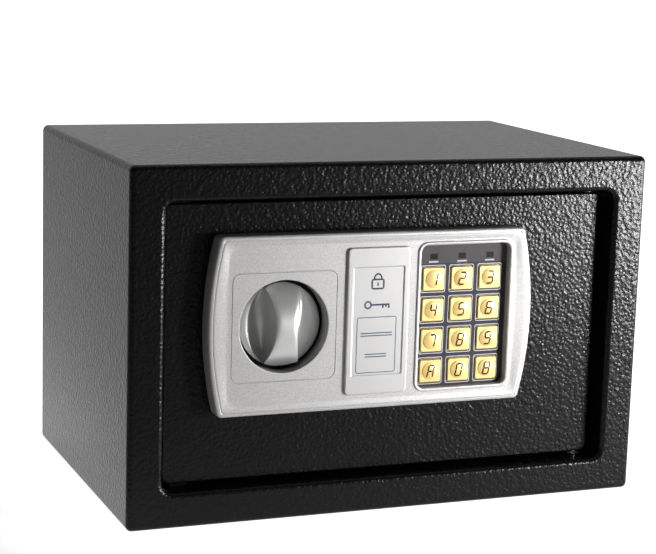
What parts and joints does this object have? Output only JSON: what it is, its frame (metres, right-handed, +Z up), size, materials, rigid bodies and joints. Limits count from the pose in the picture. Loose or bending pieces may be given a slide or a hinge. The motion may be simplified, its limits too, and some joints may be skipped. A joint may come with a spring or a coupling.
{
  "type": "electronic home safe",
  "caption": "Small steel box safe with a recessed hinged door, silver keypad fascia, turning knob that throws locking bolts, and an emergency lock under a cover.",
  "frame": {"origin": "centre of the body's underside", "axes": "+Z up, -Y out of the front door, +X to the right seen from the front"},
  "size_m": [0.31, 0.205, 0.2],
  "materials": {
    "black_paint": "glossy hammered powder coat",
    "fascia_silver": "silver metallic paint",
    "knob_silver": "satin chrome",
    "cover_silver": "light silver metallic paint",
    "key_gold": "gold metallised",
    "keypad_grey": "satin film",
    "light_black": "glossy",
    "black_plastic": "moulded",
    "white_plastic": "moulded nylon",
    "red_plastic": "moulded",
    "zinc_steel": "zinc plated",
    "bolt_steel": "turned and polished",
    "brass": "machined",
    "copper": "enamelled wire",
    "spring_steel": "drawn wire",
    "rubber_black": "moulded",
    "board_green": "solder mask",
    "cable_grey": "ribbon",
    "battery_skin": "printed sleeve",
    "felt_grey": "needle felt"
  },
  "bodies": {
    "body": {"body_wrap": "black_paint", "rear_plate": "black_paint", "front_frame": "black_paint", "floor_mat": "felt_grey", "hinge_bushes": "white_plastic", "door_stops": "black_paint"},
    "door": {"door_plate": "black_paint", "hinge_lugs": "black_paint", "hinge_pins": "zinc_steel", "panel_housing": "fascia_silver", "panel_screws": "zinc_steel", "keypad_sheet": "keypad_grey", "status_lights": "light_black", "dome_mat": "rubber_black", "keypad_board": "board_green", "lock_bracket": "zinc_steel", "spindle_bush": "brass", "guide_studs": "zinc_steel", "solenoid_frame": "zinc_steel", "solenoid_coil": "copper", "solenoid_spring": "spring_steel", "lock_barrel": "brass", "lock_nut": "zinc_steel", "inner_cover": "black_paint", "cover_posts": "zinc_steel", "cover_screws": "zinc_steel", "control_board": "board_green", "board_standoffs": "zinc_steel", "cable_grommet": "rubber_black", "ribbon_cable": "cable_grey", "reset_switch": "black_plastic", "battery_box": "black_plastic", "battery_contacts": "zinc_steel", "batteries": "battery_skin"},
    "keyhole_cover": {"keyhole_cover": "cover_silver"},
    "knob": {"knob": "knob_silver", "knob_spindle": "zinc_steel", "knob_crank": "zinc_steel", "spindle_clip": "spring_steel"},
    "bolt_carrier": {"bolt_carrier": "zinc_steel", "upper_bolt": "bolt_steel", "lower_bolt": "bolt_steel", "bolt_screws": "zinc_steel"},
    "plunger": {"solenoid_plunger": "bolt_steel"},
    "lock_rotor": {"lock_rotor": "brass", "lock_cam": "zinc_steel"},
    "reset_button": {"reset_button": "red_plastic"},
    "battery_lid": {"battery_lid": "black_plastic"},
    "key_1": {"key_1": "key_gold"},
    "key_2": {"key_2": "key_gold"},
    "key_3": {"key_3": "key_gold"},
    "key_4": {"key_4": "key_gold"},
    "key_5": {"key_5": "key_gold"},
    "key_6": {"key_6": "key_gold"},
    "key_7": {"key_7": "key_gold"},
    "key_8": {"key_8": "key_gold"},
    "key_9": {"key_9": "key_gold"},
    "key_0": {"key_0": "key_gold"},
    "key_a": {"key_a": "key_gold"},
    "key_b": {"key_b": "key_gold"}
  },
  "joints": [
    {"name": "door_swing", "type": "hinge", "parent": "body", "child": "door", "pos_m": [0.126, -0.083, 0.1], "axis": [0, 0, 1], "range_deg": [0, 95]},
    {"name": "bolt_slide", "type": "slide", "parent": "door", "child": "bolt_carrier", "axis": [-1, 0, 0], "range_m": [0, 0.015]},
    {"name": "knob_turn", "type": "hinge", "parent": "door", "child": "knob", "pos_m": [-0.067, -0.1, 0.1097], "axis": [0, -1, 0], "range_deg": [0, 90]},
    {"name": "plunger_drop", "type": "slide", "parent": "door", "child": "plunger", "axis": [0, 0, -1], "range_m": [0, 0.006], "stiffness_N_per_m": 150, "springref_m": -0.001, "deforming": ["solenoid_spring"]},
    {"name": "emergency_lock_turn", "type": "hinge", "parent": "door", "child": "lock_rotor", "pos_m": [-0.0122, -0.1, 0.1105], "axis": [0, 1, 0], "range_deg": [-90, 0]},
    {"name": "keyhole_cover_pull", "type": "slide", "parent": "door", "child": "keyhole_cover", "axis": [0, -1, 0], "range_m": [0, 0.012]},
    {"name": "battery_lid_pull", "type": "slide", "parent": "door", "child": "battery_lid", "axis": [0, 1, 0], "range_m": [0, 0.03]},
    {"name": "reset_press", "type": "slide", "parent": "door", "child": "reset_button", "axis": [0, -1, 0], "range_m": [0, 0.0015], "stiffness_N_per_m": 300},
    {"name": "key_1_press", "type": "slide", "parent": "door", "child": "key_1", "axis": [0, 1, 0], "range_m": [0, 0.001], "stiffness_N_per_m": 400},
    {"name": "key_2_press", "type": "slide", "parent": "door", "child": "key_2", "axis": [0, 1, 0], "range_m": [0, 0.001], "stiffness_N_per_m": 400},
    {"name": "key_3_press", "type": "slide", "parent": "door", "child": "key_3", "axis": [0, 1, 0], "range_m": [0, 0.001], "stiffness_N_per_m": 400},
    {"name": "key_4_press", "type": "slide", "parent": "door", "child": "key_4", "axis": [0, 1, 0], "range_m": [0, 0.001], "stiffness_N_per_m": 400},
    {"name": "key_5_press", "type": "slide", "parent": "door", "child": "key_5", "axis": [0, 1, 0], "range_m": [0, 0.001], "stiffness_N_per_m": 400},
    {"name": "key_6_press", "type": "slide", "parent": "door", "child": "key_6", "axis": [0, 1, 0], "range_m": [0, 0.001], "stiffness_N_per_m": 400},
    {"name": "key_7_press", "type": "slide", "parent": "door", "child": "key_7", "axis": [0, 1, 0], "range_m": [0, 0.001], "stiffness_N_per_m": 400},
    {"name": "key_8_press", "type": "slide", "parent": "door", "child": "key_8", "axis": [0, 1, 0], "range_m": [0, 0.001], "stiffness_N_per_m": 400},
    {"name": "key_9_press", "type": "slide", "parent": "door", "child": "key_9", "axis": [0, 1, 0], "range_m": [0, 0.001], "stiffness_N_per_m": 400},
    {"name": "key_0_press", "type": "slide", "parent": "door", "child": "key_0", "axis": [0, 1, 0], "range_m": [0, 0.001], "stiffness_N_per_m": 400},
    {"name": "key_a_press", "type": "slide", "parent": "door", "child": "key_a", "axis": [0, 1, 0], "range_m": [0, 0.001], "stiffness_N_per_m": 400},
    {"name": "key_b_press", "type": "slide", "parent": "door", "child": "key_b", "axis": [0, 1, 0], "range_m": [0, 0.001], "stiffness_N_per_m": 400}
  ],
  "couplings": [
    {"joint": "knob_turn", "follows": "bolt_slide", "rad_per_m": 104.7}
  ]
}
